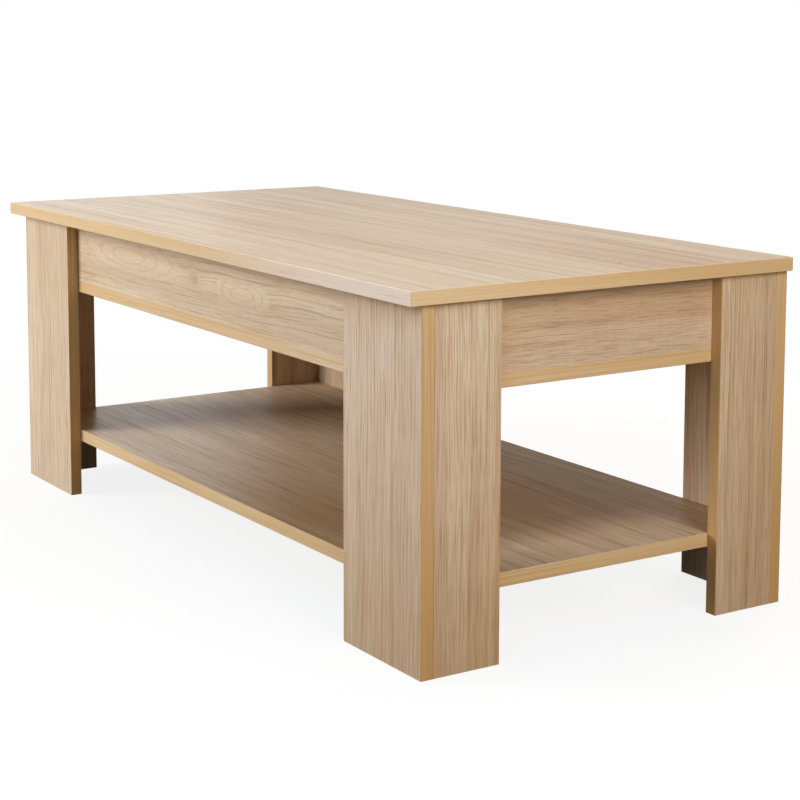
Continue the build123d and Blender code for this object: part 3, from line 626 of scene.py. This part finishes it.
# %% [markdown]
# ## Metal and plastic fittings
#
# The arms and brackets are pressed steel under black powder coat, which has a fine orange-peel skin. The
# rivets, screws and pins are zinc plated: bright, slightly blue, clouded where the plating varies. The cam
# locks are die-cast, and the washers are nylon. One function makes them all from two shades and five
# numbers: roughness, metallic, the size of the clouds, and the size and the depth of the skin.

# %% Fittings
def fitting(name, shade, dark, roughness, metallic, cloud_size, skin_size, skin_depth):
    """A plain material with clouded colour, uneven sheen and a fine skin."""
    finish = Finish(name, roughness, metallic)
    place = finish.node("ShaderNodeTexCoord", output="Object")

    def grain(size, detail):
        spot = finish.node("ShaderNodeVectorMath", {"operation": "SCALE"}, {0: place, "Scale": 1 / size})
        return finish.noise(spot, detail=detail)

    cloud = finish.ease(grain(cloud_size, 3.0), 0.35, 0.65)
    skin = grain(skin_size, 1.0)
    finish.set("Base Color", finish.mix(cloud, shade, dark))
    finish.set("Roughness", roughness + (cloud - 0.5) * 0.14)
    finish.bump(skin, strength=0.5, depth=skin_depth)
    return finish.material


FITTINGS = {
    "black_steel": fitting("black_powder_coat", (0.028, 0.028, 0.03, 1), (0.018, 0.018, 0.019, 1),
                           0.5, 0.0, 0.03, 0.0009, 0.00005),
    "bright_steel": fitting("zinc_plate", (0.66, 0.67, 0.68, 1), (0.5, 0.51, 0.54, 1),
                            0.3, 1.0, 0.004, 0.0004, 0.00001),
    "spring_steel": fitting("drawn_wire", (0.5, 0.5, 0.51, 1), (0.32, 0.32, 0.33, 1),
                            0.28, 1.0, 0.006, 0.0005, 0.00001),
    "cam_metal": fitting("die_cast_zinc", (0.52, 0.53, 0.54, 1), (0.4, 0.41, 0.42, 1),
                         0.45, 1.0, 0.005, 0.0004, 0.00003),
    "nylon": fitting("natural_nylon", paint(232, 229, 218), paint(220, 216, 203),
                     0.42, 0.0, 0.006, 0.0006, 0.00002),
    "bumper_rubber": fitting("soft_bumper", paint(196, 195, 190), paint(180, 179, 174),
                             0.6, 0.0, 0.004, 0.0005, 0.00004),
    "dowel_wood": fitting("turned_beech", paint(222, 192, 154), paint(204, 168, 126),
                          0.7, 0.0, 0.003, 0.0006, 0.00008),
}
for row in frame["record"]["subparts"]:
    if row["material_slot"] in FITTINGS:
        dress(row["node"], FITTINGS[row["material_slot"]])
print(f"{len(FITTINGS)} fittings' finishes")

# %% [markdown]
# ## The lift springs
#
# Each side has a tension spring that helps the top up: two millimetre wire, close wound, with a hook bent
# up at each end. A wire is one ring swept along a path, and every stretch of this path is a turn about
# some axis or a short straight, so `bmesh.ops.spin` makes all of it: the hook's loop about X, the coil
# about its own axis with a step along it, and the two bends between them. A curve with a bevel would do as
# well, but the spin keeps the ring square to the wire and lets one helper wind everything.

# %% Wire that goes where it is told
WIRE_RADIUS = 1.0 * MM
RING_SIDES = 12
STEPS_PER_TURN = 28

class Wire:
    """A ring of wire that is swept through space; it keeps its place and its heading."""

    def __init__(self, place, heading):
        self.shape = bmesh.new()
        self.place = place
        self.heading = heading
        square = Matrix.Translation(place) @ heading.to_track_quat("Z", "Y").to_matrix().to_4x4()
        ring = bmesh.ops.create_circle(self.shape, segments=RING_SIDES, radius=WIRE_RADIUS, matrix=square)
        self.end = ring["verts"] + self.shape.edges[:]

    def turn(self, centre, axis, angle, rise=0.0):
        """Swing about an axis, with a rise along it."""
        steps = max(4, round(STEPS_PER_TURN * angle / math.tau))
        swept = bmesh.ops.spin(self.shape, geom=self.end, cent=centre, axis=axis, angle=angle, steps=steps,
                               dvec=axis * rise / steps)
        self.end = swept["geom_last"]
        swing = Matrix.Rotation(angle, 3, axis)
        self.place = centre + swing @ (self.place - centre) + axis * rise
        self.heading = swing @ self.heading

    def straight(self, length):
        step = self.heading * length
        swept = bmesh.ops.spin(self.shape, geom=self.end, cent=self.place, axis=self.heading, angle=0.0,
                               steps=1, dvec=step)
        self.end = swept["geom_last"]
        self.place = self.place + step

    def arc_to(self, place):
        """The one arc that leaves along the heading and ends at a place."""
        chord = place - self.place
        bend = 2 * self.heading.angle(chord)
        inward = (chord - self.heading * self.heading.dot(chord)).normalized()
        radius = chord.length / (2 * math.sin(bend / 2))
        self.turn(self.place + inward * radius, self.heading.cross(inward), bend)

    def mesh(self, name):
        """The finished wire, with its two ends closed."""
        bmesh.ops.holes_fill(self.shape, edges=self.shape.edges[:], sides=0)
        bmesh.ops.recalc_face_normals(self.shape, faces=self.shape.faces[:])
        for face in self.shape.faces:
            face.smooth = len(face.verts) == 4
        mesh = bpy.data.meshes.new(name)
        self.shape.to_mesh(mesh)
        self.shape.free()
        return mesh


print(f"wire of {2 * WIRE_RADIUS / MM:.0f} mm, {RING_SIDES} sides")

# %% [markdown]
# The spring is described round its own middle, with its axis along Y. The hook loop stands upright, in the
# plane of the spring's axis, so the wire has to swing from that plane into the first turn of the coil. Two
# arcs that meet smoothly do it: a *biarc*. Its meeting point follows from the two ends and the directions
# there.

# %% Wind the springs
COIL_RADIUS = 6.0 * MM
COIL_TURNS = 30 - 1 / 3
HOOK_REACH = 14.0 * MM
HOOK_LOOP = math.radians(220)
HOOK_STRAIGHT = 1.0 * MM
HOOK_CLEARANCE = 0.3 * MM
POST_RADIUS = 3.0 * MM

def meeting_point(start, leaving, end, arriving):
    """Where the two arcs of a biarc meet."""
    gap = end - start
    both = gap.dot(leaving + arriving)
    spread = 2 * (1 - leaving.dot(arriving))
    reach = (math.sqrt(both ** 2 + spread * gap.dot(gap)) - both) / spread
    return (start + end + (leaving - arriving) * reach) / 2


def wind_spring(length):
    """A spring between two posts this far apart, from one hook to the other."""
    x_axis, y_axis = Vector((1, 0, 0)), Vector((0, 1, 0))
    coil = length - 2 * HOOK_REACH
    angle = math.pi * COIL_TURNS
    coil_start = Vector((-COIL_RADIUS * math.sin(angle), -coil / 2, COIL_RADIUS * math.cos(angle)))
    around = math.tau * COIL_TURNS * COIL_RADIUS
    coil_way = Vector((around * math.cos(angle), coil, around * math.sin(angle))).normalized()

    loop = Vector((0, COIL_RADIUS - WIRE_RADIUS - POST_RADIUS - HOOK_CLEARANCE - length / 2, 0))
    loop_top = loop + Vector((0, 0, COIL_RADIUS))
    unroll = Matrix.Rotation(HOOK_LOOP, 3, x_axis)
    wire = Wire(loop + unroll @ (loop_top - loop), unroll @ y_axis)
    bend = loop_top + y_axis * HOOK_STRAIGHT
    knee = meeting_point(bend, y_axis, coil_start, coil_way)
    wire.turn(loop, -x_axis, HOOK_LOOP)
    wire.straight(HOOK_STRAIGHT)
    wire.arc_to(knee)
    wire.arc_to(coil_start)
    wire.turn(Vector(), y_axis, math.tau * COIL_TURNS, rise=coil)
    other_way = Matrix.Rotation(math.pi, 3, "Z")
    wire.arc_to(other_way @ knee)
    wire.arc_to(other_way @ bend)
    wire.straight(HOOK_STRAIGHT)
    wire.turn(other_way @ loop, -x_axis, HOOK_LOOP)
    return wire


def middle(node_name):
    low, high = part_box(node_name)
    return (low + high) / 2


ears = {side: middle(f"{side}_spring_stud") for side in ("left", "right")}
coils = {side: middle(f"{side}_spring") for side in ("left", "right")}
posts_y = 2 * coils["right"].y - ears["right"].y
spring_length = ears["right"].y - posts_y
print(f"spring {spring_length / MM:.2f} mm between posts")

# %% [markdown]
# While the top is down the springs are stretched; as it rises the studs on the arms come forward and the
# springs close up.

# %% Fit the springs
wound = wind_spring(spring_length).mesh("lift_spring")
for side in ("left", "right"):
    spring_mesh = wound.copy()
    spring_mesh.transform(Matrix.Translation(coils[side]))
    spring = bpy.data.objects.new(f"{side}_lift_spring", spring_mesh)
    bpy.context.scene.collection.objects.link(spring)
    spring_mesh.materials.append(FITTINGS["spring_steel"])
    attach(spring, "table_base")
    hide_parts(f"{side}_spring")
    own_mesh(spring)
    print(f"{spring.name}: {len(spring_mesh.polygons)} faces")
